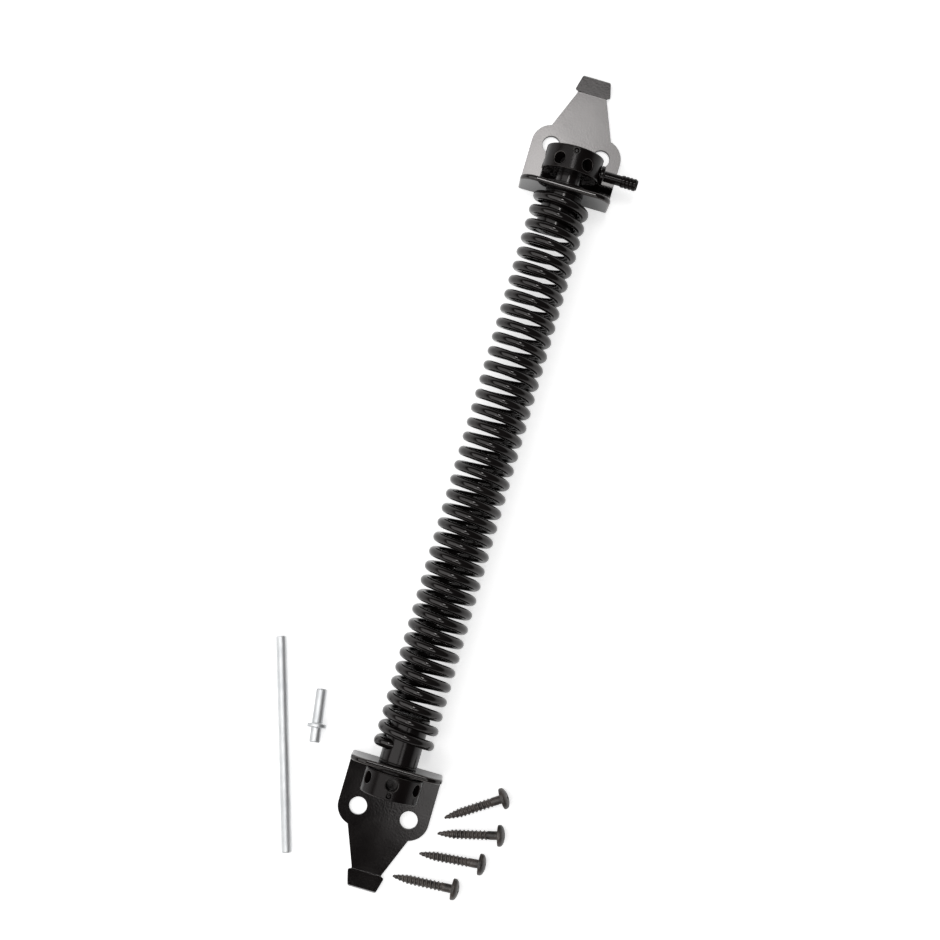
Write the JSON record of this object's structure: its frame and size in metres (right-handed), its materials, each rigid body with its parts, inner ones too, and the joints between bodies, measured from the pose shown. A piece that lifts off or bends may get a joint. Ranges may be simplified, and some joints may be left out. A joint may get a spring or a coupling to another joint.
{
  "type": "gate spring closer",
  "caption": "Open-wound torsion spring between two screw-on brackets, with winding drums, a stop pin, a loose winding rod, a collar pin and screws, that swings a gate shut.",
  "frame": {"origin": "midway between the lower bracket's two screw holes, on the mounting plane", "axes": "+X across the brackets to the right in the picture, +Y along the spring to the upper bracket, +Z away from the back plates"},
  "size_m": [0.1154, 0.3564, 0.0275],
  "materials": {
    "bracket_paint": "gloss black enamel on pressed steel",
    "spring_paint": "gloss black enamel on spring wire",
    "spindle_paint": "black enamel on turned steel",
    "drum_paint": "gloss black enamel on turned steel",
    "pin_black": "black finished steel pin",
    "washer_black": "black finished steel washer",
    "bright_zinc": "bright zinc plated steel",
    "screw_oxide": "brown-black phosphate on steel"
  },
  "bodies": {
    "lower_bracket": {"lower_bracket": "bracket_paint"},
    "lower_head": {"lower_spindle": "spindle_paint", "lower_drum": "drum_paint", "lower_lock_pin": "pin_black", "lower_thrust_washer": "washer_black", "lower_seat_washer": "washer_black", "torsion_spring": "spring_paint"},
    "upper_head": {"upper_spindle": "spindle_paint", "upper_drum": "drum_paint", "upper_lock_pin": "pin_black", "upper_thrust_washer": "washer_black", "upper_seat_washer": "washer_black"},
    "upper_bracket": {"upper_bracket": "bracket_paint"},
    "stop_pin": {"stop_pin": "pin_black"},
    "winding_rod": {"winding_rod": "bright_zinc"},
    "collar_pin": {"collar_pin": "bright_zinc"},
    "mounting_screw_1": {"mounting_screw_1": "screw_oxide"},
    "mounting_screw_2": {"mounting_screw_2": "screw_oxide"},
    "mounting_screw_3": {"mounting_screw_3": "screw_oxide"},
    "mounting_screw_4": {"mounting_screw_4": "screw_oxide"}
  },
  "joints": [
    {"name": "lower_head_turn", "type": "hinge", "parent": "lower_bracket", "child": "lower_head", "pos_m": [0, 0.022, 0.015], "axis": [0, -1, 0], "continuous": true},
    {"name": "spring_twist", "type": "hinge", "parent": "lower_head", "child": "upper_head", "pos_m": [0, 0.1455, 0.015], "axis": [0, -1, 0], "range_deg": [0, 170], "stiffness_Nm_per_rad": 1.15, "deforming": ["torsion_spring"]},
    {"name": "upper_head_turn", "type": "hinge", "parent": "upper_head", "child": "upper_bracket", "pos_m": [0, 0.269, 0.015], "axis": [0, 1, 0], "range_deg": [-25, 205]},
    {"name": "stop_pin_pull", "type": "slide", "parent": "upper_head", "child": "stop_pin", "axis": [1, 0, 0], "range_m": [0, 0.02]},
    {"name": "winding_rod_lift", "type": "slide", "parent": "lower_bracket", "child": "winding_rod", "axis": [0, 0, 1], "range_m": [0, 0.06]},
    {"name": "collar_pin_lift", "type": "slide", "parent": "lower_bracket", "child": "collar_pin", "axis": [0, 0, 1], "range_m": [0, 0.06]},
    {"name": "mounting_screw_1_lift", "type": "slide", "parent": "lower_bracket", "child": "mounting_screw_1", "axis": [0, 0, 1], "range_m": [0, 0.06]},
    {"name": "mounting_screw_2_lift", "type": "slide", "parent": "lower_bracket", "child": "mounting_screw_2", "axis": [0, 0, 1], "range_m": [0, 0.06]},
    {"name": "mounting_screw_3_lift", "type": "slide", "parent": "lower_bracket", "child": "mounting_screw_3", "axis": [0, 0, 1], "range_m": [0, 0.06]},
    {"name": "mounting_screw_4_lift", "type": "slide", "parent": "lower_bracket", "child": "mounting_screw_4", "axis": [0, 0, 1], "range_m": [0, 0.06]}
  ]
}
